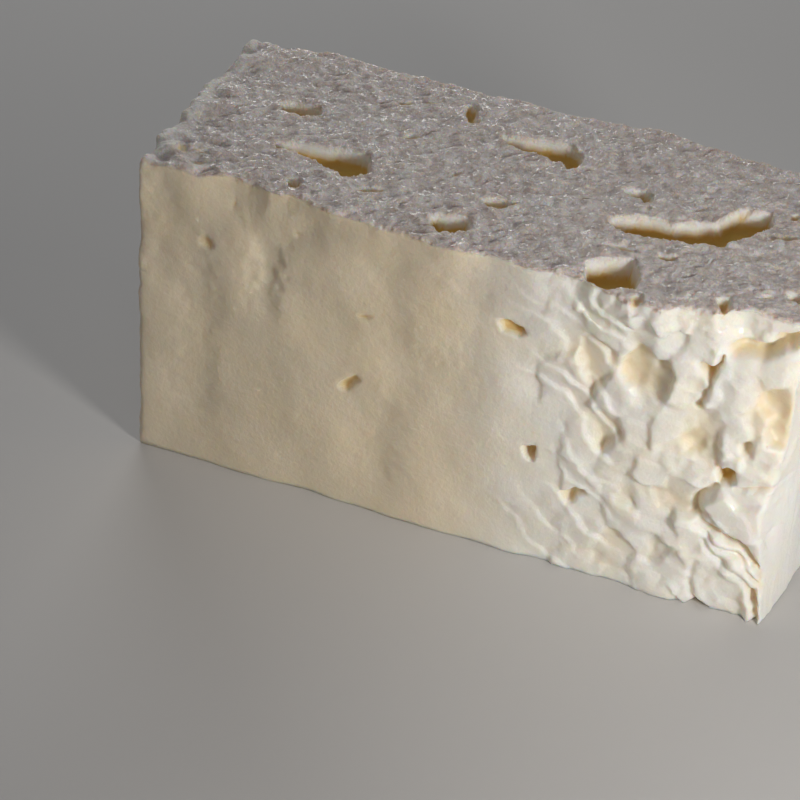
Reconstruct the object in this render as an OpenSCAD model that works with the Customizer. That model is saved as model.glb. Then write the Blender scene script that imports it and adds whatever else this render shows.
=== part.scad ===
// A block of feta, cut square from a brined slab. The top and the two ends are cut, the front is
// cut at its left and torn at its right, and small openings left by the curd pit every face.
// The origin is at the middle of the base, X runs along the length and Y from front to back.

/* [Block] */
// Length of the block
block_l = 118; // [90:1:180]
// Width of the block, from front to back
block_w = 50; // [40:1:90]
// Height of the block
block_h = 63; // [45:1:100]
// Radius of the worn edges
edge_r = 2; // [1:0.1:4]
// Pitch of the surface's facets
pitch = 3.2; // [3:0.1:6]

/* [Cut faces] */
// How far a cut face wanders in and out
wander = 0.5; // [0:0.1:1.5]
// Distance from one swell of a cut face to the next
swell = 34; // [20:1:60]
// How far the right end leans out at the top
end_lean = 1.5; // [0:0.1:5]
// How far the right end bows out from its front edge to its back edge
end_bow = 4; // [0:0.5:8]

/* [Torn front] */
// Place along the length, from the middle, where the tear begins
tear_start = 18; // [0:1:40]
// Height of the ledges that the tear leaves
ledge = 1.2; // [0:0.1:3]
// Distance from one ledge to the next
ledge_step = 11; // [6:0.5:20]
// How deep the chips and scoops go, as a multiple of the tabled depths
scoop_gain = 1; // [0:0.1:1.5]

/* [Openings] */
// How deep the openings go, as a multiple of the tabled depths
opening_gain = 1; // [0.5:0.1:1.5]
// How wide the openings are, as a multiple of the tabled widths
opening_width = 1; // [0.5:0.1:1.5]

/* [Hidden] */
curd = "ivory";

half = [block_l / 2, block_w / 2];
cells = [round(block_l / pitch), round(block_w / pitch), round(block_h / pitch)];
pocket_facets = 8;

// Chips and swells of the front face: place along the length and up the height, as shares of the
// half length and the height; radius in mm; depth in mm, where a negative depth swells outwards.
SCOOPS = [
    [0.50, 0.90, 24, -2.2],   // swell under the top edge
    [-0.03, 0.95, 17, -1.2],  // second swell
    [-0.72, 1.00, 8, 3.0],    // chip in the top edge
    [0.93, 0.95, 13, 4.2],    // broken top corner
    [0.57, 0.76, 7, 2.6],     // shell-shaped hollow
    [0.75, 0.80, 5, 3.4],     // deep three-sided hollow
    [0.92, 0.69, 8, 2.8],     // hollow beside the right end
    [0.75, 0.52, 6, 2.6],     // hollow above the smooth flake
    [0.77, 0.33, 5, 2.2],     // groove left of the smooth flake
    [0.95, 0.19, 5, 3.0],     // groove at the foot
    [0.81, 0.00, 5, 2.4],     // notch in the bottom edge
    [0.40, 0.22, 9, 1.8],     // shallow scoop low in the tear
];

// Openings: the face they pit; place as shares of the half sizes of that face, which on an
// upright face are along the face and up the height; length, width and depth in mm; turn; bend.
OPENINGS = [
    ["top", [-0.70, 0.17], [9.0, 3.0, 3.0], 8, 0],
    ["top", [-0.50, -0.41], [17.0, 2.6, 3.4], 6, 14],
    ["top", [-0.22, 0.64], [7.5, 2.0, 2.6], -62, 0],
    ["top", [-0.42, 0.58], [3.6, 1.6, 1.4], 20, 0],
    ["top", [-0.35, 0.67], [4.4, 1.6, 1.4], 22, 0],
    ["top", [-0.33, 0.19], [3.4, 1.8, 1.6], 18, 0],
    ["top", [-0.14, -0.14], [3.2, 1.8, 1.8], 15, 0],
    ["top", [0.02, -0.38], [5.0, 2.0, 2.0], -5, 0],
    ["top", [-0.06, -0.76], [8.4, 3.6, 4.2], 14, 0],
    ["top", [0.04, 0.40], [17.0, 2.8, 3.6], 18, -38],
    ["top", [0.38, 0.15], [5.4, 2.0, 2.4], 0, -30],
    ["top", [0.57, -0.20], [30.0, 2.6, 4.2], 24, 48],
    ["top", [0.39, -0.58], [9.0, 1.4, 1.8], 16, 0],
    ["top", [0.55, -0.48], [4.0, 1.8, 2.0], -8, 0],
    ["top", [0.45, -0.83], [9.0, 4.6, 5.4], 16, 0],
    ["top", [0.93, -0.58], [5.2, 3.0, 3.4], 14, 0],
    ["front", [0.85, 0.475], [3.6, 3.2, 4.6], 0, 0],
    ["front", [-0.79, 0.79], [3.4, 2.4, 2.2], 30, 0],
    ["front", [-0.30, 0.42], [6.0, 2.0, 2.6], 60, 0],
    ["right", [-0.30, 0.55], [4.0, 1.8, 2.2], 70, 0],
    ["right", [0.45, 0.30], [5.0, 2.2, 2.6], 20, 0],
    ["back", [-0.55, 0.66], [10.0, 2.8, 3.4], 12, 24],
    ["back", [0.10, 0.30], [6.0, 2.4, 2.8], -20, 0],
    ["back", [0.62, 0.72], [12.0, 2.4, 3.2], -8, -20],
    ["left", [0.20, 0.62], [7.0, 3.0, 3.2], 35, 0],
    ["left", [-0.50, 0.28], [4.4, 2.0, 2.4], -15, 0],
];

// ---- the shape of the surface -------------------------------------------------------------

function smooth(t) = let (u = min(max(t, 0), 1)) u * u * (3 - 2 * u);

// A smooth hill of height 1 at the middle and 0 from the radius outwards.
function hill(distance, radius) = pow(max(0, 1 - pow(distance / radius, 2)), 2);

// Nearest point of the block less its edge radius: what the rounded surface is offset from. The
// foot has no rounding, so that the block stands on a flat base.
function core_point(p) = [
    min(max(p.x, -half.x + edge_r), half.x - edge_r),
    min(max(p.y, -half.y + edge_r), half.y - edge_r),
    min(p.z, block_h - edge_r)
];

// Long swells of a cut face, the sum of two crossed waves.
function swells(p) = wander * (
    sin(360 * (p.x + 0.6 * p.z) / swell + 50) * cos(360 * (p.y - 0.4 * p.z) / swell)
    + 0.5 * sin(360 * (p.x - p.y) / (0.6 * swell) + 130)
);

// Ledges of the torn part of the front: slanted steps that grow in from where the tear begins.
function ledges(p) =
    let (
        slant = (p.z + 0.45 * p.x + 2.5 * sin(360 * p.x / 31)) / ledge_step,
        step = slant - floor(slant)
    )
    ledge * smooth((p.x - tear_start) / 12) * (0.5 - step + smooth((step - 0.7) / 0.3));

// Chips, swells and scoops of the front face, added up.
function scoops(p, i = 0) = i == len(SCOOPS) ? 0
    : let (
        s = SCOOPS[i],
        centre = [s[0] * half.x, s[1] * block_h],
        away = norm([p.x - centre.x, p.z - centre.y])
    )
    -scoop_gain * s[3] * hill(away, s[2]) + scoops(p, i + 1);

// Outward relief at a point of the surface, whose outward direction is n.
function relief(p, n) =
    let (front = max(0, -n.y), flat_foot = smooth(p.z / 4))
    swells(p) * (0.4 + 0.6 * flat_foot) + front * (scoops(p) + ledges(p));

// How far the right end stands out, at shares of the way across it from the front and up it. The
// knife came in askew at the front edge and was square to the block by the back.
function end_out(across, up) = end_lean * up + end_bow * (1 - pow(1 - across, 2));

// Surface point for a point of the plain box.
function skin(p) =
    let (
        q = core_point(p),
        n = (p - q) / max(norm(p - q), 0.001),
        h = relief(p, n),
        out = end_out((p.y + half.y) / block_w, p.z / block_h) * smooth(p.x / half.x)
    )
    q + (edge_r + h) * n + [out, 0, 0];

// ---- the lattice of the surface: rings of points up the walls, and a grid on the top --------

ring_n = 2 * (cells.x + cells.y);

// Lattice place of the m-th point round the block, anticlockwise from the front left corner.
function ring_ij(m) =
    m < cells.x ? [m, 0]
    : m < cells.x + cells.y ? [cells.x, m - cells.x]
    : m < 2 * cells.x + cells.y ? [2 * cells.x + cells.y - m, cells.y]
    : [0, ring_n - m];

function box_point(i, j, k) = [
    -half.x + block_l * i / cells.x,
    -half.y + block_w * j / cells.y,
    block_h * k / cells.z
];

walls = [
    for (k = [0:cells.z - 1], m = [0:ring_n - 1])
        let (ij = ring_ij(m)) skin(box_point(ij.x, ij.y, k))
];
lid = [for (i = [0:cells.x], j = [0:cells.y]) skin(box_point(i, j, cells.z))];
all_points = concat(walls, lid);

function lid_index(i, j) = len(walls) + i * (cells.y + 1) + j;
function wall_index(k, m) =
    let (around = m % ring_n, ij = ring_ij(around))
    k < cells.z ? k * ring_n + around : lid_index(ij.x, ij.y);

wall_faces = [
    for (k = [0:cells.z - 1], m = [0:ring_n - 1], upper = [false, true])
        upper
            ? [wall_index(k, m), wall_index(k + 1, m), wall_index(k + 1, m + 1)]
            : [wall_index(k, m), wall_index(k + 1, m + 1), wall_index(k, m + 1)]
];
lid_faces = [
    for (i = [0:cells.x - 1], j = [0:cells.y - 1], upper = [false, true])
        upper
            ? [lid_index(i, j), lid_index(i, j + 1), lid_index(i + 1, j + 1)]
            : [lid_index(i, j), lid_index(i + 1, j + 1), lid_index(i + 1, j)]
];
base_face = [[for (m = [0:ring_n - 1]) m]];

// The middle of the surface's box, which goes to the origin.
xs = [for (p = all_points) p.x];
ys = [for (p = all_points) p.y];
box_middle = [(min(xs) + max(xs)) / 2, (min(ys) + max(ys)) / 2, 0];

module curd_body() {
    polyhedron(points = all_points, faces = concat(base_face, wall_faces, lid_faces));
}

// ---- openings -----------------------------------------------------------------------------

// Puts its children on a face, with their Z pointing out of it and their X along it.
module on_face(face, place) {
    up = block_h * place.y;
    if (face == "top") translate([place.x * half.x, place.y * half.y, block_h]) children();
    if (face == "front") translate([place.x * half.x, -half.y, up]) rotate([90, 0, 0]) children();
    if (face == "back") translate([place.x * half.x, half.y, up]) rotate([-90, 0, 0]) children();
    if (face == "right")
        translate([half.x + end_out((place.x + 1) / 2, place.y), place.x * half.y, up])
            rotate([90, 0, 90]) children();
    if (face == "left") translate([-half.x, place.x * half.y, up]) rotate([90, 0, -90]) children();
}

// One straight lens-shaped pocket that sinks to its depth, half above the face and half below.
module pocket(size) {
    width = opening_width * size[1];
    run = max(size[0] - width, 0.2);
    hull()
        for (end = [-1, 1])
            translate([end * run / 2, 0, 0])
                scale([width, width * 0.9, 2 * opening_gain * size[2]])
                    sphere(d = 1, $fn = pocket_facets);
}

// An opening is one pocket, or two that meet at an angle where the curd parted along a bend.
module opening(size, turn, bend) {
    rotate([0, 0, turn])
        if (bend == 0) {
            pocket(size);
        } else {
            arm = [size[0] * 0.56, size[1], size[2]];
            for (side = [-1, 1])
                rotate([0, 0, side * bend / 2])
                    translate([side * (arm[0] / 2 - size[1] / 2), 0, 0])
                        pocket(arm);
        }
}

module feta_block() {
    color(curd)
        translate(-box_middle)
            difference() {
                curd_body();
                for (o = OPENINGS)
                    on_face(o[0], o[1])
                        opening(o[2], o[3], o[4]);
            }
}

feta_block();
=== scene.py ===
import itertools
import math

import bpy
import numpy as np
from mathutils import Matrix, Vector


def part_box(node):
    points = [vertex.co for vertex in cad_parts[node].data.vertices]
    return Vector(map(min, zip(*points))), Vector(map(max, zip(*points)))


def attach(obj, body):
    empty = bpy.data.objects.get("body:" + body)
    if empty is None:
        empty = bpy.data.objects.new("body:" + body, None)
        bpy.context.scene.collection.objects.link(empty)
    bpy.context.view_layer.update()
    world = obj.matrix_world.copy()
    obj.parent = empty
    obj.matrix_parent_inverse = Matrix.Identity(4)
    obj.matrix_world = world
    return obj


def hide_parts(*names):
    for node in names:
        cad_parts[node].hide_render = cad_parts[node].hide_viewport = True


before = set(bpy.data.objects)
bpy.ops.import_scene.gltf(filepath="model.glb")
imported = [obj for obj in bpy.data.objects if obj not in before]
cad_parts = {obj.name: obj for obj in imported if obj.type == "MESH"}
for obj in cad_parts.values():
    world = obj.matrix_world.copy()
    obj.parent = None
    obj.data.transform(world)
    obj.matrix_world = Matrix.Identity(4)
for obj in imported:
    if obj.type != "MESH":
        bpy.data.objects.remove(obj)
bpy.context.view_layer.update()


# ---- The cut block ----------------------------------------------------------------------------
# The block is one piece of brined curd, cut from a slab with a wire. Its top and back are cut
# faces, flat to about half a millimetre. The right end is cut too, but leans and bows by some
# four millimetres. The left end crumbled by up to two, and the edges are worn.
# Lengths here are in millimetres from the middle of the plain block's base.

MM = 0.001
PITCH = 0.27                       # spacing of the surface's points before it is thinned
CAD_MARGIN = (3.1, 1.75, 0.7)      # how far swells, chips and the bow stand out of the plain block
FACES_KEPT = 196000                # triangles left when the surface is thinned

low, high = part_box("feta_block")
half_l, half_w, height = (
    (high.x - low.x) / 2 / MM - CAD_MARGIN[0],
    (high.y - low.y) / 2 / MM - CAD_MARGIN[1],
    high.z / MM - CAD_MARGIN[2],
)

NOISE_CELLS = 64
SLOPES = np.random.default_rng(11).normal(size=(NOISE_CELLS,) * 3 + (3,))
SLOPES /= np.linalg.norm(SLOPES, axis=-1, keepdims=True)


def smooth(t):
    """0 below 0, 1 above 1, and 3t^2 - 2t^3 between."""
    t = np.clip(t, 0, 1)
    return t * t * (3 - 2 * t)


def noise(points, size, seed=0):
    """Smooth noise, from about -1 to 1, with features of the given size.

    Each corner of a cubic lattice has a random slope. A point takes the mean of the eight slopes'
    planes about it, weighted along each axis by 6t^5 - 15t^4 + 10t^3.
    """
    q = points / size + seed * np.array([17.3, 31.7, 5.9])
    cell = np.floor(q).astype(int)
    t = q - cell
    fade = t * t * t * (t * (6 * t - 15) + 10)
    total = np.zeros(len(points))
    for corner in itertools.product((0, 1), repeat=3):
        place = (cell + corner) % NOISE_CELLS
        plane = (SLOPES[place[:, 0], place[:, 1], place[:, 2]] * (t - corner)).sum(axis=1)
        total += plane * np.prod(np.where(corner, fade, 1 - fade), axis=1)
    return total * 1.6


def box_lattice(half_x, half_y, top, pitch):
    """The surface of a box as square cells.

    Each face is a grid of lattice places (i, j, k), and a place that two faces share is one point.
    Returns the points, and each cell's four points, anticlockwise seen from outside.
    """
    size = np.array([2 * half_x, 2 * half_y, top])
    counts = np.round(size / pitch).astype(int)
    grids = []
    for axis in range(3):
        across, along = (axis + 1) % 3, (axis + 2) % 3
        a, b = np.meshgrid(np.arange(counts[across]), np.arange(counts[along]), indexing="ij")
        for side in (0, 1):
            corner = np.zeros((a.size, 4, 3), int)
            corner[..., axis] = side * counts[axis]
            corner[..., across] = a.reshape(-1, 1) + [0, 1, 1, 0]
            corner[..., along] = b.reshape(-1, 1) + [0, 0, 1, 1]
            grids.append(corner if side else corner[:, ::-1])
    corner = np.concatenate(grids)
    stride = np.array([(counts[1] + 1) * (counts[2] + 1), counts[2] + 1, 1])
    keys, cells = np.unique(corner @ stride, return_inverse=True)
    places = np.stack([keys // stride[0], keys // stride[1] % (counts[1] + 1),
                       keys % (counts[2] + 1)], axis=1)
    return places / counts * size - [half_x, half_y, 0], cells.reshape(-1, 4)


def rounded(points, radius):
    """Each point goes to its nearest point of the inner box, then out again by the radius."""
    reach = np.array([half_l, half_w])
    inner = np.column_stack([
        np.clip(points[:, 0], -reach[0] + radius, reach[0] - radius),
        np.clip(points[:, 1], -reach[1] + radius, reach[1] - radius),
        np.clip(points[:, 2], radius, height - radius),
    ])
    out = points - inner
    distance = np.maximum(np.linalg.norm(out, axis=1), 1e-6)
    return inner + out * (radius / distance)[:, None]


EDGE_RADIUS, EDGE_SHARPEST, EDGE_ROUNDEST = 0.9, 0.35, 1.8
LEFT_EDGE_EXTRA = 0.8              # how much rounder the edges of the crumbled left end are

points, cells = box_lattice(half_l, half_w, height, PITCH)
plain = points.copy()
edge_radius = EDGE_RADIUS + EDGE_RADIUS * noise(points, 7, 1)
edge_radius = np.clip(edge_radius, EDGE_SHARPEST, EDGE_ROUNDEST)
edge_radius += LEFT_EDGE_EXTRA * (1 - smooth((plain[:, 0] + half_l - 3) / 9))
points = rounded(points, edge_radius)

BLEND = 14                         # how far in from a face its relief moves the faces beside it
to_front = 1 - smooth((plain[:, 1] + half_w) / BLEND)
to_back = 1 - smooth((half_w - plain[:, 1]) / BLEND)
to_left = 1 - smooth((plain[:, 0] + half_l) / BLEND)
to_right = 1 - smooth((half_l - plain[:, 0]) / BLEND)
to_top = 1 - smooth((height - plain[:, 2]) / BLEND)
above_foot = smooth(plain[:, 2] / 3)    # the grain fades out just above the flat base


def along(u, table):
    """The value at u of a table of (place, value), easing from each place to the next."""
    places, values = np.array(table).T
    last = np.clip(np.searchsorted(places, u) - 1, 0, len(places) - 2)
    t = smooth((u - places[last]) / (places[last + 1] - places[last]))
    return values[last] + (values[last + 1] - values[last]) * t


def inside(u, v, outline):
    """How far points (u, v) lie inside a closed outline, in mm, and less than 0 outside it.

    The size is the least distance to a side of the outline. The sign is from the sides that a
    line from the point towards +u crosses: an odd number of them means inside.
    """
    nearest = np.full(len(u), np.inf)
    crossed = np.zeros(len(u), bool)
    for (au, av), (bu, bv) in zip(outline, outline[1:] + outline[:1]):
        du, dv = bu - au, bv - av
        t = np.clip(((u - au) * du + (v - av) * dv) / (du * du + dv * dv), 0, 1)
        nearest = np.minimum(nearest, np.hypot(u - au - t * du, v - av - t * dv))
        if dv:
            crossed ^= ((av > v) != (bv > v)) & (u < au + (v - av) / dv * du)
    return np.where(crossed, nearest, -nearest)


def from_line(u, v, line):
    """How far points (u, v) lie from an open line of straight stretches."""
    nearest = np.full(len(u), np.inf)
    for (au, av), (bu, bv) in zip(line, line[1:]):
        du, dv = bu - au, bv - av
        t = np.clip(((u - au) * du + (v - av) * dv) / (du * du + dv * dv), 0, 1)
        nearest = np.minimum(nearest, np.hypot(u - au - t * du, v - av - t * dv))
    return nearest


# ---- The torn front ---------------------------------------------------------------------------
# The right half of the front was broken open, not cut. The curd parts there along flakes, ledges
# and shell-shaped hollows. The hollows are painted tan: painted shade, warm like light that has
# been through the curd.

TEAR_START, TEAR_BAND = 11, 18
# The front top edge, as (place along X, how far it is worn back).
WORN_EDGE = [(-60, -1.0), (-52, 0.2), (-43.5, 2.6), (-36, 0.4), (-30, 0.8), (-23, -0.8),
             (-13, -0.8), (-2, -2.4), (6, -0.2), (14, -1.4), (20, -0.6), (31, -2.8), (36, -2.2),
             (40, 0), (44.6, 0.4), (50, 3.8), (56, 3.2), (60, 3.6)]
# Shards: place along X and Z, how far the middle stands out, slopes along X and Z, roughness.
SHARDS = [
    (32.5, 60.5, 0.3, 0, 0.1, 0.8), (37, 60, 0.9, -0.1, 0, 0.9), (41.5, 60.8, 0.7, 0, -0.1, 1),
    (44.5, 58.6, 0.9, -0.2, 0.1, 1), (47.5, 57.4, 0.6, -0.2, 0.1, 0.8),
    (51.5, 61.3, 0.6, -0.1, 0.1, 0.9), (55.5, 62.3, 0.4, -0.1, 0.1, 0.8),
    (33.2, 56.2, -0.7, 0.3, 0.1, 0.2), (38.5, 54.3, -0.3, -0.1, -0.1, 0.1),
    (43, 55, 0.2, -0.1, 0, 0.4), (50.5, 52.5, -0.3, 0, 0.1, 0.3), (54.5, 53.2, -0.5, 0.1, 0.1, 0.3),
    (58.7, 56.5, -0.2, -0.1, 0.2, 0.3), (33.6, 47.8, -2.3, 0.4, 0.1, 0), (37.6, 46.6, -1.8, 0.2, 0, 0.1),
    (36, 42.6, -1.0, 0.1, -0.4, 0.1), (41.3, 50, 0.5, -0.2, 0, 0.2), (40.8, 45.2, 0.5, -0.4, 0, 0.1),
    (43.6, 46.4, -0.9, -0.3, 0, 0.1), (46, 47, 0.4, -0.3, 0, 0.1), (48.7, 48, -0.2, 0.2, 0, 0.2),
    (51.3, 46.8, -0.2, -0.2, 0, 0.3), (56.3, 46.4, -3.2, 0.4, 0.3, 0), (54.3, 42.8, -1.3, 0.3, 0, 0.1),
    (58.3, 42, -2.5, 0.3, 0.1, 0.1), (40, 38.8, 0, -0.2, -0.1, 0), (43.7, 39.8, -1.0, -0.3, 0.1, 0),
    (45.2, 36, -2.2, 0.1, 0.3, 0.1), (47.9, 34.6, -1.8, -0.2, 0.1, 0.2), (48, 41.3, -0.9, 0.2, 0.2, 0.3),
    (51.2, 40.6, -0.4, 0.1, 0, 0.4), (50.6, 35.5, 0.3, -0.2, -0.2, 1), (56.3, 35.7, -0.4, -0.1, 0.1, 0.5),
    (55.3, 31.5, 0.1, -0.1, 0.1, 0.5), (58.8, 34.5, -0.3, -0.2, 0, 0.4), (46.3, 31, -0.8, 0, -0.3, 0.7),
    (42.5, 31, -0.4, -0.1, -0.2, 0.5), (53.5, 22.5, 0, 0, 0, 0), (57.8, 23, 0, 0, 0, 0),
    (47.3, 16, 0.3, -0.2, 0.2, 0.1), (51, 13.2, 0.4, -0.2, 0.2, 0.1), (55.5, 9.9, 0.4, -0.2, 0.3, 0.1),
    (49.5, 9.3, 0.1, -0.2, 0.2, 0.2), (53, 5.5, -0.5, -0.1, 0.1, 0.3), (49.3, 4, -0.2, -0.1, 0, 0.6),
    (58.9, 3.6, 0.4, 0, 0, 0.2), (57.4, 14.2, -0.4, 0.1, 0.2, 0.1), (43.6, 24, -1.0, 0.1, 0.2, 0.2),
    (38.5, 27, 0.2, -0.2, 0, 0.1), (26.5, 47, -1.8, 0.3, 0.1, 0.1), (29.5, 33.5, -1.5, 0.1, 0.3, 0.1),
    (29.3, 53, -0.1, -0.2, 0, 0.2), (22, 59.6, 0.5, 0, 0, 0.8), (27.6, 59, 0.4, 0, 0, 0.8),
    (34, 36.5, 0.2, -0.1, 0, 0),
]
SHARD_SIZE = 6.8                   # of the ones that are placed at random where none is listed
SHARD_STRETCH = 1.5                # how much longer a shard is than wide
TURN_HEIGHT = 28                   # height at which the shards' direction changes
TURN_BELOW, TURN_ABOVE = -38, 76   # degrees from X that they lie at
# Hollows: outline along X and Z, depth, width of the wall, and which way the floor rises gently.
THREE_SIDED = [(43.0, 51.8), (46.3, 52.0), (47.0, 55.0), (47.3, 54), (46.6, 50.5), (45.2, 46.8)]
EYE = [(49.0, 31), (50.6, 32.1), (52.3, 31.8), (53, 30), (52.3, 28.1), (50, 28)]
POCKET = [(52.2, 38), (54.3, 38), (54.6, 33.6), (53.1, 32.8)]
FOOT_NOTCH = [(47.0, -1.5), (48.9, 2.6), (50.2, 1.4), (51.6, -1.5)]
LEFT_EYE = [(14.5, 24.5), (16.6, 25.4), (17.6, 23.8), (16.4, 22.2), (14.8, 22.6)]
LEFT_SLOT = [(22, 16.5), (26, 19.2), (27, 17.6), (23.4, 14.8)]
HOLLOWS = [
    (THREE_SIDED, 3.6, 0.7, -80), (EYE, 4.2, 0.6, 0), (POCKET, 1.7, 0.8, -90),
    (FOOT_NOTCH, 3.6, 0.8, 90), (LEFT_EYE, 3.2, 0.6, 0), (LEFT_SLOT, 2.6, 0.7, 0),
]
# Grooves: line along X and Z, half width, depth.
GROOVES = [
    ([(46.8, 54.4), (45.6, 49), (44.1, 42.3)], 0.7, 1.5),
    ([(53.2, 28.3), (56.5, 28.6), (60, 30.6)], 0.9, 1.3),
    ([(49.6, 27.4), (47.4, 25.6), (46.2, 23), (46.8, 20.2), (49.6, 18.2), (53.4, 16.8),
      (56.3, 15.4), (58.4, 12), (60, 8)], 1.2, 2.0),
    ([(47.1, 18.7), (51.2, 15), (55, 13.2), (59.3, 7.2)], 0.8, 1.1),
    ([(48.8, 15.5), (52, 11.8), (55.6, 9), (58.2, 4.5)], 0.8, 0.9),
    ([(57.6, 6.5), (58.1, 3), (58.5, -0.5)], 1.0, 2.2),
    ([(47.6, 10.4), (47.2, 5.5), (48.6, 2)], 0.9, 0.9),
]
# The lumps under the right part of the top edge overhang a groove: place along X, its height.
OVERHANG = [(47, 54.6), (52.8, 55.8), (56.2, 58.6), (60, 61.6)]
OVERHANG_DEPTH = 3.8
# Flakes: outline along X and Z, how far they stand out, and width of their bevel.
FLAKE = [(47.6, 23.7), (49.9, 26.6), (52, 26.9), (53.6, 26), (55, 25.2), (60.5, 27.4), (60.5, 20),
         (58.5, 18), (56.3, 17.4), (52.5, 18.7), (49.3, 20.7)]
FLAKES = [(FLAKE, 1.2, 1.0)]
FLAKE_STEP = 4.6                   # from one flake's edge to the next where none is listed


def turned(u, v, degrees, stretch):
    """Points turned in their plane, and squeezed along the turned first axis by stretch."""
    c, s = math.cos(math.radians(degrees)), math.sin(math.radians(degrees))
    return np.column_stack([(u * c + v * s) / stretch, v * c - u * s])


def facets(u, v, table, sharp):
    """Shards that meet in ledges: the relief at points (u, v), and how rough the shard is there.

    Each shard is a sloping plane about its middle. A point takes the mean of all the planes,
    weighted by e to the minus sharp times the square of the distance to the middle, where
    distance counts for less along the way that the shard lies.
    """
    total, rough, weights = np.zeros((3, len(u)))
    for place_u, place_v, rise, slope_u, slope_v, grit in table:
        du, dv = u - place_u, v - place_v
        turn = TURN_BELOW if place_v < TURN_HEIGHT else TURN_ABOVE
        drawn = turned(du, dv, turn, SHARD_STRETCH)
        weight = np.exp(-sharp * np.minimum((drawn * drawn).sum(axis=1), 600 / sharp))
        total += weight * (rise + slope_u * du + slope_v * dv)
        rough += weight * grit
        weights += weight
    return total / weights, rough / weights


def shards(points, size, seed, sharp=5.0, tilt=0.5):
    """Broken curd: facets of about the given size that meet in ledges, from about -1 to 1.

    Each cell of a jittered square lattice has a tilted plane. A point takes the mean of the nine
    planes about it, weighted by e to the minus four sharp times the square of the distance.
    """
    u = points / size
    cell = np.floor(u).astype(int)
    jitter = np.random.default_rng(seed).random((NOISE_CELLS, NOISE_CELLS, 5))
    total = np.zeros(len(u))
    weights = np.full(len(u), 1e-12)
    for step in itertools.product((-1, 0, 1), repeat=2):
        place = (cell + step) % NOISE_CELLS
        random = jitter[place[:, 0], place[:, 1]]
        away = u - (cell + step + random[:, :2])
        plane = 2 * random[:, 2] - 1 + 2 * tilt * ((2 * random[:, 3:] - 1) * away).sum(axis=1)
        weight = np.exp(-sharp * 4 * (away * away).sum(axis=1))
        total += weight * plane
        weights += weight
    return total / weights


x, z = plain[:, 0], plain[:, 2]
at_front = plain[:, 1] < -half_w + BLEND
front = np.where(at_front)[0]
fx, fz = x[front], z[front]
fp = np.column_stack([fx, np.zeros(len(fx)), fz])
rag_u = 0.5 * noise(fp, 1.7, 21) + 0.5 * noise(fp, 4.5, 22)
rag_v = 0.5 * noise(fp, 1.7, 23) + 0.5 * noise(fp, 4.5, 24)
ru, rv = fx + rag_u, fz + rag_v

torn = smooth((fx - TEAR_START + 7 * noise(fp, 9, 25)) / TEAR_BAND)
worn = along(fx, WORN_EDGE) * smooth((fz - 49) / 12)

pick = np.random.default_rng(8)
shard_table = list(SHARDS)
for across in np.arange(12, 60, SHARD_SIZE):
    for up in np.arange(2, height, SHARD_SIZE):
        shift_u, shift_v, rise, slope_u, slope_v, grit = pick.uniform(-1, 1, 6)
        place_u = across + 0.35 * SHARD_SIZE * shift_u
        place_v = up + 0.35 * SHARD_SIZE * shift_v
        to_listed = min(math.hypot(place_u - row[0], place_v - row[1]) for row in SHARDS)
        if to_listed > 0.72 * SHARD_SIZE:
            shard_table.append((place_u, place_v, 0.8 * rise - 0.2,
                                0.2 * slope_u - 0.08, 0.2 * slope_v, 0.2 + 0.2 * grit))
broken, grit = facets(ru, rv, shard_table, 0.6)
# Flakes lie over each other: each comes out gently, then drops back at its edge.
lap = (0.75 * rv + 0.5 * ru + 4.5 * noise(fp, 10, 28) + noise(fp, 3, 29)) / FLAKE_STEP
lap -= np.floor(lap)
flaky = (lap - 0.5 - smooth((lap - 0.84) / 0.16)) * (1 + 0.8 * noise(fp, 6, 30))
placed = smooth((fx - 30) / 4)
broken = (0.7 + 0.3 * placed) * broken + (0.85 - 0.55 * placed) * flaky
fine = 0.45 * shards(turned(ru, rv, 60, 1.8), 2.2, 34) + 0.25 * noise(fp, 1.3, 36)
local = torn * (broken + (0.1 + 0.9 * grit) * fine)
amber = np.zeros(len(fx))
for outline, depth, wall, gentle in HOLLOWS:
    centre = np.mean(outline, axis=0)
    away_u, away_v = ru - centre[0], rv - centre[1]
    distance = np.maximum(np.hypot(away_u, away_v), 0.01)
    toward = away_u * math.cos(math.radians(gentle)) + away_v * math.sin(math.radians(gentle))
    width = wall * (1 + 1.6 * smooth(toward / distance))
    sunk_in = smooth((inside(ru, rv, outline) + 0.15) / width)
    local -= depth * sunk_in
    # Painted shade: the deepest hollows take amber in the material.
    amber = np.maximum(amber, sunk_in * smooth((depth - 2) / 2))
for line, half_width, depth in GROOVES:
    local -= depth * (1 - smooth(from_line(ru, rv, line) / half_width))
below = along(ru, OVERHANG) - rv
cut_in = smooth((below + 2.4) / 3) * smooth((1.6 - below) / 1.2) * smooth((ru - 47) / 3)
local -= OVERHANG_DEPTH * cut_in
for outline, rise, bevel in FLAKES:
    local += rise * smooth(inside(ru, rv, outline) / bevel)
# How far down in the torn relief a point lies. This also sets the painted shade of the hollows: tan, and
# amber in the deepest.
hollow = np.clip((-local - 0.4) / 3.6, 0, 0.5) + 0.45 * amber

# Soft creases and swells of the smooth left part.
CREASES = [([(-39.1, 66), (-38.6, 58), (-36.5, 50), (-36.3, 40)], 3.0, 0.9),
           ([(-31, 66), (-34.6, 56), (-35.4, 44)], 2.6, 0.6), ([(-32, 54), (-24, 60), (-18, 62)], 2.4, 0.5),
           ([(-50, 50), (-48, 34), (-49, 14)], 4.0, 0.8), ([(-14, 52), (-10, 34), (-13, 12)], 4.5, 0.7),
           ([(-57, 62), (-54, 52), (-55, 40)], 2.6, 0.6), ([(0, 58), (4, 48), (2, 30)], 4.0, 0.6)]
swell = 0.7 * noise(fp, 13, 26) + 0.14 * noise(fp, 5, 27)
for line, width, depth in CREASES:
    swell -= depth * np.exp(-(from_line(fx + 2 * rag_u, fz, line) / width)**2)
relief = local - worn + (1 - torn) * swell
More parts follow.
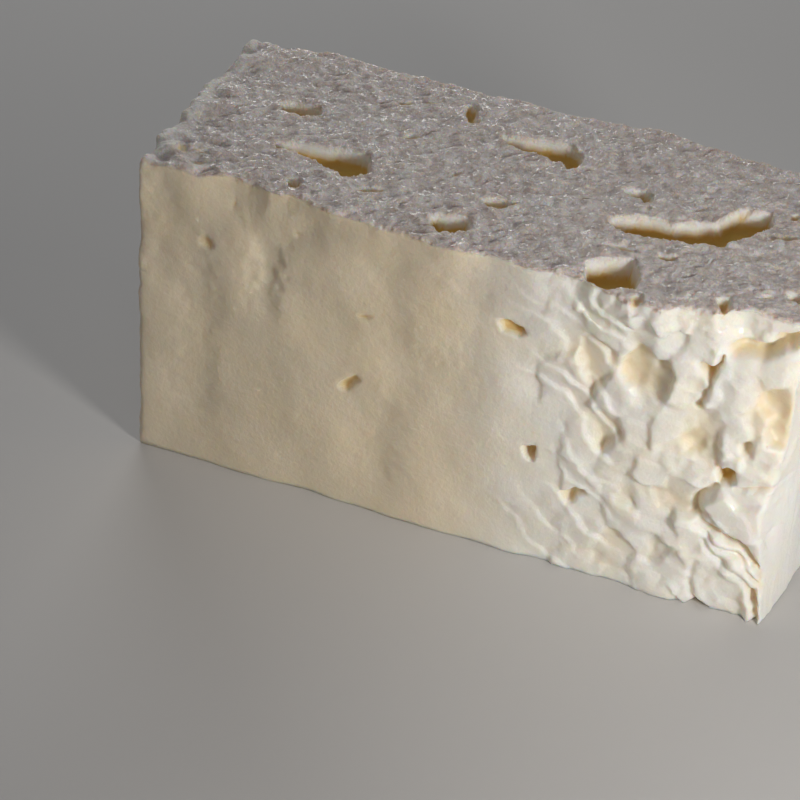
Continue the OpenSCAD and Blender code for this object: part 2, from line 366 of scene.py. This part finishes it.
# The foot of the torn part stands out a little where the block was set down soft.
FOOT_BULGE = 1.4
relief += FOOT_BULGE * smooth((fx - 36) / 5) * smooth((47 - fx) / 3) * smooth((7 - fz) / 6)

points[front, 1] -= relief * to_front[front]
# How hollow each point is. The material paints it tan there, as painted shade.
hollow_at = np.zeros(len(points))
hollow_at[front] = hollow * smooth(1 - (plain[front, 1] + half_w) / 1.0)
torn_at = np.zeros(len(points))
torn_at[front] = torn * smooth(1 - (plain[front, 1] + half_w) / 3)
# Painted shadow: the smooth left of the front fades to tan, standing in for shade that falls there.
painted_front_shade_at = np.zeros(len(points))
painted_front_shade_at[front] = (1 - smooth((fx + 5) / 25)) * smooth(1 - (plain[front, 1] + half_w) / 2)


# ---- The ends and the back --------------------------------------------------------------------
# The right end is a clean cut with the fine upright streaks of the knife. The left end crumbled a
# little as it was cut. The back is a cut face, smoother than the top.

# The right end's front edge, as (height, how far it stands out).
RIGHT_EDGE = [(0, 2.3), (7, 1.7), (14.5, 0.3), (24, -0.7), (31.6, 0.5), (45.6, 0.7), (54, 1.1),
              (63, 1.3)]
END_BOW = 4.0                      # how far the right end's back edge stands out of its front edge
WORN_BACK = [(-60, 0), (-51, -0.2), (-42.5, 1.4), (-35, 0.9), (-30, 0), (-22, 0.7), (-11, 0.8),
             (1, 0.2), (10, 1.0), (19, 2.2), (28, 0.4), (39, 0), (46, 0.2), (54, 0.4), (60, -0.4)]
y = plain[:, 1]
side = np.column_stack([np.zeros(len(y)), y, z])
lean = 1.5 + (1 - z / height)**2
streaks = 0.13 * noise(side * [1, 1, 0.09], 1.3, 41) + 0.09 * noise(side * [1, 1, 0.12], 0.6, 42)
streaks *= 0.7 + 0.8 * noise(side, 11, 40)
streaks += 0.12 * noise(side * [1, 1, 0.4], 5, 39)
near_front = smooth(1 - (y + half_w) / 12)
right = (
    near_front * np.interp(z, *zip(*RIGHT_EDGE)) + (1 - near_front) * lean
    + streaks + 0.35 * noise(side, 15, 43)
    - 0.9 * smooth(noise(side, 5, 44) * 2.2 - 0.6) * smooth(1 - (y + half_w) / 7)
)
crumbled = 0.2 + 0.8 * smooth((y + 22) / 10) * smooth((z - 18) / 30)
left = 1.7 + crumbled * (3.0 * np.abs(noise(side, 9, 45)) - 0.9 + 1.2 * np.abs(noise(side, 3.4, 46)))
back_p = np.column_stack([x, np.zeros(len(x)), z])
back = (
    0.4 * noise(back_p, 16, 47) + 0.1 * noise(back_p * [0.1, 1, 1], 1.4, 48)
    - 0.9 * smooth(noise(back_p, 5, 49) * 2 - 0.5) * smooth((z - height + 4) / 4)
    + along(x, WORN_BACK) * smooth((z - 50) / 12)
)
bow = END_BOW * (1 - (0.5 - y / half_w / 2)**2) * smooth(x / half_l)
points[:, 0] += bow + right * to_right - left * to_left
points[:, 1] += back * to_back


# ---- The openings -----------------------------------------------------------------------------
# Small gaps were left between the pieces of curd when they knitted in the mould, and the wire cut
# them open. Their walls are upright and smooth, and their rims are a little ragged.

# Openings of the top: outline along X and Y, depth.
TOP_OPENINGS = [
    ([(-46.3, 5.4), (-42.8, 6.6), (-39, 6.8), (-37.6, 3.9), (-41.9, 1.9), (-44.6, 2.2)], 3.6),
    ([(-41.6, -8.4), (-38, -6.4), (-32.7, -5.8), (-28, -4.6), (-24.4, -4.8), (-22.2, -10.8),
      (-26.4, -13.7), (-28, -12.5), (-30.3, -11.9), (-33, -10.4), (-36, -10.1), (-40.9, -10)], 3.6),
    ([(-35.3, -18.7), (-32.7, -17.4), (-31.6, -18.8), (-32.2, -21.3), (-33.9, -20.9)], 3.2),
    ([(-27.6, 14.8), (-24.4, 16.4), (-23.7, 15), (-26.6, 13.6)], 1.4),
    ([(-22.9, 16.3), (-19.9, 19.7), (-19.2, 18.6), (-22.2, 15.2)], 1.6),
    ([(-15.2, 18.1), (-14.8, 19.9), (-13.3, 19.9), (-12.6, 18.4), (-11.9, 15.6), (-10.6, 16.4),
      (-10.9, 14.1), (-13, 13.7)], 2.8),
    ([(-22, 4.6), (-19.3, 5.9), (-18.7, 4.6), (-21.4, 3.2)], 1.6),
    ([(-10, -3.6), (-7.8, -2), (-7.2, -3.2), (-9.1, -4.8)], 1.6),
    ([(-2.3, -8.6), (2.4, -7.4), (3.2, -9.4), (0.3, -12), (-1.9, -9.9)], 2.0),
    ([(-8.2, -18.2), (-1.8, -16), (-0.4, -19.6), (-4.7, -22.6), (-7.5, -20.9)], 3.8),
    ([(-6.2, 12.7), (-3.1, 12.7), (0.3, 13.9), (4, 14.6), (6.8, 14.6), (9.1, 13.1), (10, 11.3),
      (10.1, 7.8), (8.1, 6.5), (7.1, 8.8), (4.7, 8.2), (1.9, 9.7), (-0.5, 8.7), (-3.8, 9.6),
      (-5.7, 10.8)], 3.4),
    ([(4, -17.1), (5.9, -16.7), (5.4, -18.5)], 1.6),
    ([(20.2, -4.9), (25.7, -2.1), (31.1, -1.6), (37.6, 1.6), (39.4, 6), (45.6, 9.3), (46.5, 5.7),
      (45, 2.2), (43.6, -0.4), (40.2, -5.9), (37, -6.2), (35.1, -7.1), (33, -6.6), (31.1, -7.5),
      (27.4, -7.9), (24.1, -7.9), (21.4, -7.3)], 3.8),
    ([(19.4, 4.6), (23, 6.6), (24.8, 5.6), (25.6, 2.7), (24.3, 2), (23.1, 3.2), (20.5, 2.9)], 2.8),
    ([(24.4, 1.3), (26.2, 0.9), (26, -0.5), (24.9, -0.3)], 1.4),
    ([(18.3, -14.2), (24.5, -12.6), (27.6, -12.5), (27.6, -14), (24.5, -14)], 1.5),
    ([(30.7, -11.7), (34.4, -12), (33.9, -13.6), (31.3, -13.6)], 2.4),
    ([(20.7, -20.4), (22.5, -18), (28.2, -15.6), (30.1, -19.7), (30.8, -23.9), (27.3, -25.8),
      (24.7, -26.2), (22.5, -25.2)], 5.0),
    ([(43.2, -20.9), (45.9, -19.6), (47, -23.4), (46.2, -25.8), (44.8, -23.6)], 2.4),
    ([(54, -13.9), (56.4, -13.6), (57, -16.5), (54.6, -16.7)], 2.6),
    ([(29.6, -26.5), (32.4, -24.8), (33, -27), (31.1, -29.5)], 1.3),
    ([(46.5, 1.1), (51.6, 4.3), (52.3, 2.1), (46.9, -0.3)], 1.2),
    ([(48.4, 10.2), (49.9, 11.4), (50.9, 8.7), (49.1, 8.1)], 2.0),
    ([(49.8, -17.6), (52.4, -15.5), (53.2, -16.6), (50.6, -18.4)], 1.2),
    ([(-57, -16.6), (-54.6, -16.2), (-53.8, -18.6), (-56.4, -19)], 1.0),
    ([(-52.4, -19.6), (-50, -19.4), (-49.6, -21.6), (-52, -22)], 1.0),
]
# Openings of the upright faces: outline along the face and Z, depth.
FRONT_OPENINGS = [
    ([(-48.8, 49.6), (-47.6, 50.8), (-46.4, 50.4), (-45.4, 49.2), (-46.4, 48), (-48.2, 48.2)], 1.2),
    ([(-44, 51), (-43, 51.4), (-42.6, 50.6), (-43.6, 50.2)], 0.9),
    ([(-21, 26), (-19.4, 28.6), (-17.4, 29.8), (-16.4, 28.8), (-17.8, 27.4), (-19, 25.2)], 1.8),
]
BACK_OPENINGS = [
    ([(-38, 40), (-35, 43), (-32, 43.6), (-28.5, 42.4), (-27, 40.4), (-31, 40.6), (-34, 38.6)], 3.0),
    ([(-4, 17.4), (-1, 19.6), (3, 20.2), (5, 19), (3.6, 17.8), (0, 16.4), (-2.4, 15.6)], 2.6),
    ([(27, 44.6), (31, 45.2), (35, 47), (40, 46.6), (43, 44.4), (40.4, 43.8), (36, 44.4),
      (31, 42.6)], 3.0),
]
RIGHT_OPENINGS = [([(9, 17), (11, 18.8), (14.6, 19.4), (15, 18.2), (12.6, 17.2), (10.4, 15.8)], 2.2)]
LEFT_OPENINGS = [
    ([(2.6, 35), (3.6, 38.4), (6, 41.4), (8.4, 41.6), (8, 38.8), (6, 37.4), (5, 34.4)], 2.8),
    ([(-15, 16), (-12.4, 18.4), (-10, 18), (-10.4, 16.6), (-12.8, 14.8)], 2.2),
]


PIT_CORNERS = 7


def pits(count, seed, low_u, high_u, low_v, high_v):
    """Small openings at random: a ring of a few corners each, drawn out and turned, and its depth."""
    random = np.random.default_rng(seed)
    rings = []
    for _ in range(count):
        length = 0.6 + 2.6 * random.random()**2.5
        width = length * random.uniform(0.3, 0.6)
        angle = random.normal(0, 0.5)
        middle_u = random.uniform(low_u, high_u)
        middle_v = random.uniform(low_v, high_v)
        ring = []
        for k in range(PIT_CORNERS):
            reach, turn = random.uniform(0.65, 1.15), k * math.tau / PIT_CORNERS
            du, dv = length * reach * math.cos(turn), width * reach * math.sin(turn)
            ring.append((middle_u + du * math.cos(angle) - dv * math.sin(angle),
                         middle_v + du * math.sin(angle) + dv * math.cos(angle)))
        rings.append((ring, 0.6 + 1.1 * width))
    return rings


TOP_OPENINGS += pits(14, 81, -54, 56, -21, 22)
FRONT_OPENINGS += pits(9, 92, -54, 14, 5, 58)
BACK_OPENINGS += pits(46, 83, -56, 56, 4, 60)
RIGHT_OPENINGS += pits(13, 84, -9, 22, 4, 59)
LEFT_OPENINGS += pits(20, 85, -20, 22, 4, 59)
RIM_WALL = 0.95                    # width of an opening's wall
LIP = 0.75                         # widest soft lip on the back of an opening of the top


def sunk(u, v, openings, size=RIM_WALL, lip=0.0):
    """Depth below the face at points (u, v), and the share of the way down into an opening.

    Inside an outline the depth grows from nothing at the rim to the opening's own depth within
    the width of its wall, and the floor then falls by another fifth towards the middle. With a
    lip, the depth near the outline's +v side is held to about a third.
    """
    place = np.column_stack([u, v, np.zeros(len(u))])
    ru = u + 0.25 * noise(place, 1.6, 51) + 0.4 * noise(place, 4, 52)
    rv = v + 0.25 * noise(place, 1.6, 53) + 0.4 * noise(place, 4, 54)
    depth = np.zeros(len(u))
    share = np.zeros(len(u))
    for outline, deep in openings:
        (low_u, low_v), (high_u, high_v) = np.min(outline, axis=0), np.max(outline, axis=0)
        near = np.where((u > low_u - 2) & (u < high_u + 2) & (v > low_v - 2) & (v < high_v + 2))[0]
        s = inside(ru[near], rv[near], outline)
        down = smooth((s + 0.15) / size)
        if lip:
            far = inside(ru[near], rv[near] + lip * min(1, (high_v - low_v) / 8), outline)
            down = down * (0.35 + 0.65 * smooth((far + 0.15) / size))
        depth[near] = np.maximum(depth[near], deep * down * (0.8 + 0.2 * smooth(s / 1.5)))
        share[near] = np.maximum(share[near], smooth((down - 0.3) * 2.6) * min(1, 0.5 + deep / 7))
    return depth, share


top_swell = 0.3 * noise(points * [1, 1, 0], 14, 61) + 0.16 * noise(points * [1, 1, 0], 5, 62)
corner_lumps = smooth((-42 - points[:, 0]) / 8) * smooth((-6 - points[:, 1]) / 10)
top_swell += 0.9 * corner_lumps * noise(points * [1, 1, 0], 3.4, 63)
left_lumps = smooth((-50 - points[:, 0]) / 7)
top_swell += left_lumps * (1.6 * np.abs(noise(points * [1, 1, 0], 6, 64)) - 0.5)
near_top = np.where(to_top > 0)[0]
depth, share = sunk(points[near_top, 0], points[near_top, 1], TOP_OPENINGS, lip=LIP)
on_top = smooth(1 - (height - plain[near_top, 2]) / 1.2)
points[near_top, 2] += (top_swell[near_top] - depth) * to_top[near_top]
# Painted shade: the lower walls of the top's openings take tan.
hollow_at[near_top] = np.maximum(hollow_at[near_top], share * on_top)
opened = np.zeros(len(points))
opened[near_top] = np.minimum(depth, 1) * on_top

for axis, sign, weight, openings in (
    (1, -1, to_front, FRONT_OPENINGS), (1, 1, to_back, BACK_OPENINGS),
    (0, 1, to_right, RIGHT_OPENINGS), (0, -1, to_left, LEFT_OPENINGS),
):
    near = np.where(weight > 0)[0]
    depth, share = sunk(plain[near, 1 - axis], plain[near, 2], openings)
    points[near, axis] -= sign * depth * weight[near]
    on_face = smooth(weight[near] * 12 - 11)
    # Painted shade: the lower walls of the openings in the upright faces take tan.
    hollow_at[near] = np.maximum(hollow_at[near], share * on_face)
    opened[near] = np.maximum(opened[near], np.minimum(depth, 1) * on_face)


# ---- The grain --------------------------------------------------------------------------------
# The cut top is a crust of curd grains, mostly half a millimetre to two and a half across, drawn
# out a little the way that the wire went. The other faces are smoother.

WALL_PASSES = 8                    # rounds of smoothing of the walls of openings
GRAIN_TURN = 48                    # degrees from X that the wire drew the grains of the top


def face_normals(points, cells):
    """Each point's outward direction: the sum of its cells' cross products of diagonals."""
    corner = points[cells]
    cross = np.cross(corner[:, 2] - corner[:, 0], corner[:, 3] - corner[:, 1])
    total = np.stack([np.bincount(cells.ravel(), np.repeat(cross[:, axis], 4), len(points))
                      for axis in range(3)], axis=1)
    return total / np.maximum(np.linalg.norm(total, axis=1, keepdims=True), 1e-9)


edges = np.concatenate([cells[:, [0, 1]], cells[:, [1, 2]], cells[:, [2, 3]], cells[:, [3, 0]]])
near_count = np.bincount(edges[:, 0], minlength=len(points))
ease = np.clip(0.9 * smooth(opened * 4) + 0.2 * torn_at, 0, 0.8)[:, None]
for _ in range(WALL_PASSES):
    around = np.stack([np.bincount(edges[:, 0], points[edges[:, 1], axis], len(points))
                       for axis in range(3)], axis=1) / near_count[:, None]
    points += ease * (around - points)

normals = face_normals(points, cells)
facing_up = smooth(plain[:, 2] - height + 1.5) * smooth((normals[:, 2] - 0.2) / 0.5)
facing_up *= 1 - 0.6 * smooth((-54.5 - points[:, 0]) / 5)
facing_up *= 1 - 0.85 * smooth(opened * 2.5)
turned_xy = turned(points[:, 0], points[:, 1], GRAIN_TURN, 1.3)
grain_p = np.column_stack([turned_xy, points[:, 2]])
grain = (
    0.75 * np.hypot(noise(grain_p, 2.3, 71), 0.16) + 0.4 * np.hypot(noise(grain_p, 1.2, 72), 0.12) - 0.4
    + 0.2 * noise(grain_p, 4, 75)
)
at_back = (1 - smooth((half_w - plain[:, 1]) / 1.5)) * above_foot
at_left = (1 - smooth((plain[:, 0] + half_l) / 1.5)) * above_foot
# Where the grained crust is: the top, and a little of the back and the left. Besides the grain, the
# material paints these places greyer, as painted shade of light that only grazes the top.
crust_and_painted_shade_at = np.maximum(facing_up, np.maximum(0.3 * at_back, 0.25 * at_left))
skin = 0.05 * noise(points, 2.4, 73) + 0.04 * noise(points, 1.1, 74)
bare = 1 - smooth(hollow_at * 1.5)
rise = bare * crust_and_painted_shade_at * grain + (1 - facing_up) * skin * (0.4 + 0.6 * bare)
points += normals * (rise * above_foot)[:, None]
points[:, 2] = np.maximum(points[:, 2], 0)
points[plain[:, 2] == 0, 2] = 0

middle = (points.min(axis=0) + points.max(axis=0)) / 2 * [1, 1, 0]
points -= middle


# ---- The block's mesh -------------------------------------------------------------------------
# The surface becomes one closed mesh, thinned where it is nearly flat. It carries how hollow and
# how torn each point is, how much it belongs to the grained top, and where the front's left is
# painted tan, for its material, which paints shade in hollows, on the top and on the front's left.

mesh = bpy.data.meshes.new("feta_curd")
mesh.vertices.add(len(points))
mesh.vertices.foreach_set("co", (points * MM).ravel())
mesh.loops.add(cells.size)
mesh.loops.foreach_set("vertex_index", cells.ravel())
mesh.polygons.add(len(cells))
mesh.polygons.foreach_set("loop_start", np.arange(0, cells.size, 4))
mesh.update(calc_edges=True)
for name, values in (("hollow", hollow_at), ("torn", torn_at), ("crust_and_painted_shade", crust_and_painted_shade_at), ("painted_front_shade", painted_front_shade_at)):
    mesh.attributes.new(name, "FLOAT", "POINT").data.foreach_set("value", values.astype(np.float32))

block = bpy.data.objects.new("feta_curd", mesh)
bpy.context.scene.collection.objects.link(block)
thin = block.modifiers.new("thin", "DECIMATE")
thin.ratio = FACES_KEPT / (2 * len(cells))
bpy.context.view_layer.update()
block.data = bpy.data.meshes.new_from_object(block.evaluated_get(bpy.context.evaluated_depsgraph_get()))
block.modifiers.clear()
block.data.shade_smooth()
bpy.data.meshes.remove(mesh)

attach(block, "root")
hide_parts("feta_block")


# ---- The curd's finish ------------------------------------------------------------------------
# Feta is moist, dense and white, and light passes a millimetre or two into it. Hollows are painted
# tan to orange: painted shade, warm like light that has been through the curd. The cut crust is
# painted greyer, painted shade of light that only grazes the top, and the smooth left of the front
# is painted tan, a painted shadow.


class Value:
    """A number that varies over the surface. Arithmetic on it adds Math nodes."""

    def __init__(self, tree, socket):
        self.tree = tree
        self.socket = socket

    def math(self, operation, other=0.0, swap=False):
        node = self.tree.nodes.new("ShaderNodeMath")
        node.operation = operation
        for socket, value in zip(node.inputs, (other, self) if swap else (self, other)):
            plug(self.tree, socket, value)
        return Value(self.tree, node.outputs[0])

    def __add__(self, other):
        return self.math("ADD", other)

    def __sub__(self, other):
        return self.math("SUBTRACT", other)

    def __rsub__(self, other):
        return self.math("SUBTRACT", other, swap=True)

    def __mul__(self, other):
        return self.math("MULTIPLY", other)

    __radd__ = __add__
    __rmul__ = __mul__

    def held(self):
        """The value kept from 0 to 1."""
        clamped = self.math("ADD")
        clamped.socket.node.use_clamp = True
        return clamped


def plug(tree, socket, value):
    """Links a Value or a socket to the socket, or sets a plain value on it."""
    value = value.socket if isinstance(value, Value) else value
    if isinstance(value, bpy.types.NodeSocket):
        tree.links.new(value, socket)
    else:
        socket.default_value = value


class Finish:
    """A material and its nodes."""

    def __init__(self, name):
        self.material = bpy.data.materials.new(name)
        self.material.use_nodes = True
        self.tree = self.material.node_tree
        self.tree.nodes.clear()

    def node(self, kind, settings=(), **sockets):
        """A node of that kind. Its settings are set first, then its sockets, by name or number."""
        node = self.tree.nodes.new("ShaderNode" + kind)
        for name, value in dict(settings).items():
            setattr(node, name, value)
        for name, value in sockets.items():
            key = int(name[1:]) if name[0] == "n" and name[1:].isdigit() else name.replace("_", " ")
            plug(self.tree, node.inputs[key], value)
        return node

    def value(self, kind, settings=(), output=0, **sockets):
        return Value(self.tree, self.node(kind, settings, **sockets).outputs[output])

    def attribute(self, name):
        return self.value("Attribute", {"attribute_name": name}, output=2)

    def mix(self, factor, first, second):
        """A colour between two, by a Mix node."""
        return self.node("Mix", {"data_type": "RGBA"}, n0=factor, n6=first, n7=second).outputs[2]

    def surface(self, **sockets):
        shader = self.node("BsdfPrincipled", **sockets)
        self.node("OutputMaterial", Surface=shader.outputs[0])
        return shader


CREAM = (0.86, 0.845, 0.80, 1)
CREAM_WARM = (0.85, 0.81, 0.70, 1)
# Painted shadow: the tan that the smooth left of the front takes in place of shade.
PAINTED_FRONT_SHADE = (0.74, 0.60, 0.38, 1)
# Painted shade: the greys of the crust, darker than the curd because light only grazes the top.
CRUST_PAINTED_SHADE = (0.56, 0.47, 0.43, 1)
CRUST_PAINTED_SHADE_PALE = (0.84, 0.77, 0.73, 1)
# Painted shade in hollows and openings: tan, and amber in the deepest, warm like light that has been
# through the curd.
PAINTED_HOLLOW_TAN = (0.80, 0.64, 0.37, 1)
PAINTED_HOLLOW_AMBER = (0.74, 0.48, 0.12, 1)

curd = Finish("feta_curd")
place = curd.node("TexCoord").outputs["Object"]
hollow_value = curd.attribute("hollow")
torn_value = curd.attribute("torn")
crust_and_painted_shade_value = curd.attribute("crust_and_painted_shade")
painted_front_shade_value = curd.attribute("painted_front_shade")
patches = curd.value("TexNoise", Vector=place, Scale=90.0, Detail=2.0)
mottle = curd.value("TexNoise", Vector=place, Scale=420.0, Detail=2.0, Roughness=0.6)
specks = curd.value("TexNoise", Vector=place, Scale=1400.0, Detail=1.0, Roughness=0.6)

body = curd.mix(((patches - 0.42) * 3.0).held(), CREAM, CREAM_WARM)
# Painted shadow: the left of the front mixed towards tan.
body = curd.mix((painted_front_shade_value * 0.65).held(), body, PAINTED_FRONT_SHADE)
# Painted shade: the crust mixed towards grey.
crust_and_painted_shade = curd.mix(((mottle - 0.36) * 3.4).held(), CRUST_PAINTED_SHADE, CRUST_PAINTED_SHADE_PALE)
colour = curd.mix((crust_and_painted_shade_value * 0.9).held(), body, crust_and_painted_shade)
# Painted shade: hollows mixed towards tan, and the deepest towards amber.
colour = curd.mix((hollow_value * 1.25).held(), colour, PAINTED_HOLLOW_TAN)
colour = curd.mix(((hollow_value - 0.65) * 3.0).held(), colour, PAINTED_HOLLOW_AMBER)

height_value = (specks * 0.9 + mottle * 1.3) * (crust_and_painted_shade_value * 0.75 + 0.25) * (1 - hollow_value * 0.8)
bump = curd.node("Bump", Strength=1.0, Distance=0.0004, Height=height_value)
wet = ((specks - 0.56) * 9.0).held() * (crust_and_painted_shade_value + torn_value * 0.6).held()
curd.surface(
    Base_Color=colour,
    Roughness=(0.62 - torn_value * 0.12 - hollow_value * 0.15).held(),
    Coat_Weight=wet * 0.9,
    Coat_Roughness=0.14,
    IOR=1.4,
    Subsurface_Weight=0.7,
    Subsurface_Radius=(1.0, 0.62, 0.3),
    Subsurface_Scale=0.0024,
    Normal=bump.outputs[0],
)
block.data.materials.clear()
block.data.materials.append(curd.material)


# ---- The floor --------------------------------------------------------------------------------
# A plain pale table top under the block, with a faint unevenness.

FLOOR_SIZE = 3.0
floor_mesh = bpy.data.meshes.new("floor")
edge = FLOOR_SIZE / 2
floor_mesh.from_pydata([(-edge, -edge, 0), (edge, -edge, 0), (edge, edge, 0), (-edge, edge, 0)],
                       [], [(0, 1, 2, 3)])
floor = bpy.data.objects.new("floor", floor_mesh)
bpy.context.scene.collection.objects.link(floor)
table = Finish("floor")
cloud = table.value("TexNoise", Vector=table.node("TexCoord").outputs["Object"], Scale=6.0)
table.surface(
    Base_Color=table.mix(cloud, (0.58, 0.57, 0.56, 1), (0.64, 0.63, 0.62, 1)),
    Roughness=0.75,
)
floor_mesh.materials.append(table.material)


# ---- The light --------------------------------------------------------------------------------
# A soft lamp low on the right rakes the top and lights the torn face and the right end. A large
# overhead panel, a lamp behind, a faint warm one before the torn face and a dim surround fill in.


def lamp(name, azimuth, elevation, distance, size, power, colour, aim=(0, 0, 0.03), spread=180):
    """An area lamp that faces its aim. Azimuth 0 is in front of the block, 90 on its right."""
    a, e = math.radians(azimuth), math.radians(elevation)
    away = Vector((math.sin(a) * math.cos(e), -math.cos(a) * math.cos(e), math.sin(e)))
    light = bpy.data.lights.new(name, "AREA")
    light.shape = "DISK"
    light.size = size
    light.energy = power
    light.color = colour
    light.spread = math.radians(spread)
    holder = bpy.data.objects.new(name, light)
    holder.matrix_world = (Matrix.Translation(Vector(aim) + distance * away)
                           @ away.to_track_quat("Z", "Y").to_matrix().to_4x4())
    bpy.context.scene.collection.objects.link(holder)


lamp("key", azimuth=53, elevation=19, distance=0.28, size=0.06, power=0.157, colour=(1.0, 0.97, 0.93),
     aim=(0.01, 0, 0.03), spread=110)
lamp("overhead", azimuth=-10, elevation=70, distance=0.9, size=0.8, power=0.7, colour=(0.97, 0.96, 1.0))
lamp("back", azimuth=205, elevation=22, distance=0.9, size=0.6, power=2.6, colour=(1.0, 0.99, 0.96))
lamp("bounce", azimuth=0, elevation=6, distance=0.2, size=0.12, power=0.018, colour=(1.0, 0.88, 0.7),
     aim=(0.05, -0.02, 0.03), spread=110)
world = bpy.data.worlds.new("surround")
world.use_nodes = True
world.node_tree.nodes["Background"].inputs["Color"].default_value = (0.8, 0.84, 0.9, 1)
world.node_tree.nodes["Background"].inputs["Strength"].default_value = 0.1
bpy.context.scene.world = world
bpy.context.scene.view_settings.view_transform = "Standard"


# ---- The camera -------------------------------------------------------------------------------
# A long lens looks down at the block from its front right, a little tipped.

CAMERA_AZIMUTH, CAMERA_ELEVATION, CAMERA_ROLL = 18.8, 36.8, 4.2
CAMERA_DISTANCE = 0.478
CAMERA_AIM = np.array([-12.7, -13.8, 18.4])        # mm, from the plain block's middle
LENS, SENSOR = 117, 36

azimuth, elevation = math.radians(CAMERA_AZIMUTH), math.radians(CAMERA_ELEVATION)
backwards = Vector((math.sin(azimuth) * math.cos(elevation),
                    -math.cos(azimuth) * math.cos(elevation), math.sin(elevation)))
lens = bpy.data.cameras.new("camera")
lens.lens = LENS
lens.sensor_width = SENSOR
camera = bpy.data.objects.new("camera", lens)
camera.matrix_world = (
    Matrix.Translation(Vector((CAMERA_AIM - middle) * MM) + CAMERA_DISTANCE * backwards)
    @ backwards.to_track_quat("Z", "Y").to_matrix().to_4x4()
    @ Matrix.Rotation(math.radians(CAMERA_ROLL), 4, "Z")
)
bpy.context.scene.collection.objects.link(camera)
bpy.context.scene.camera = camera
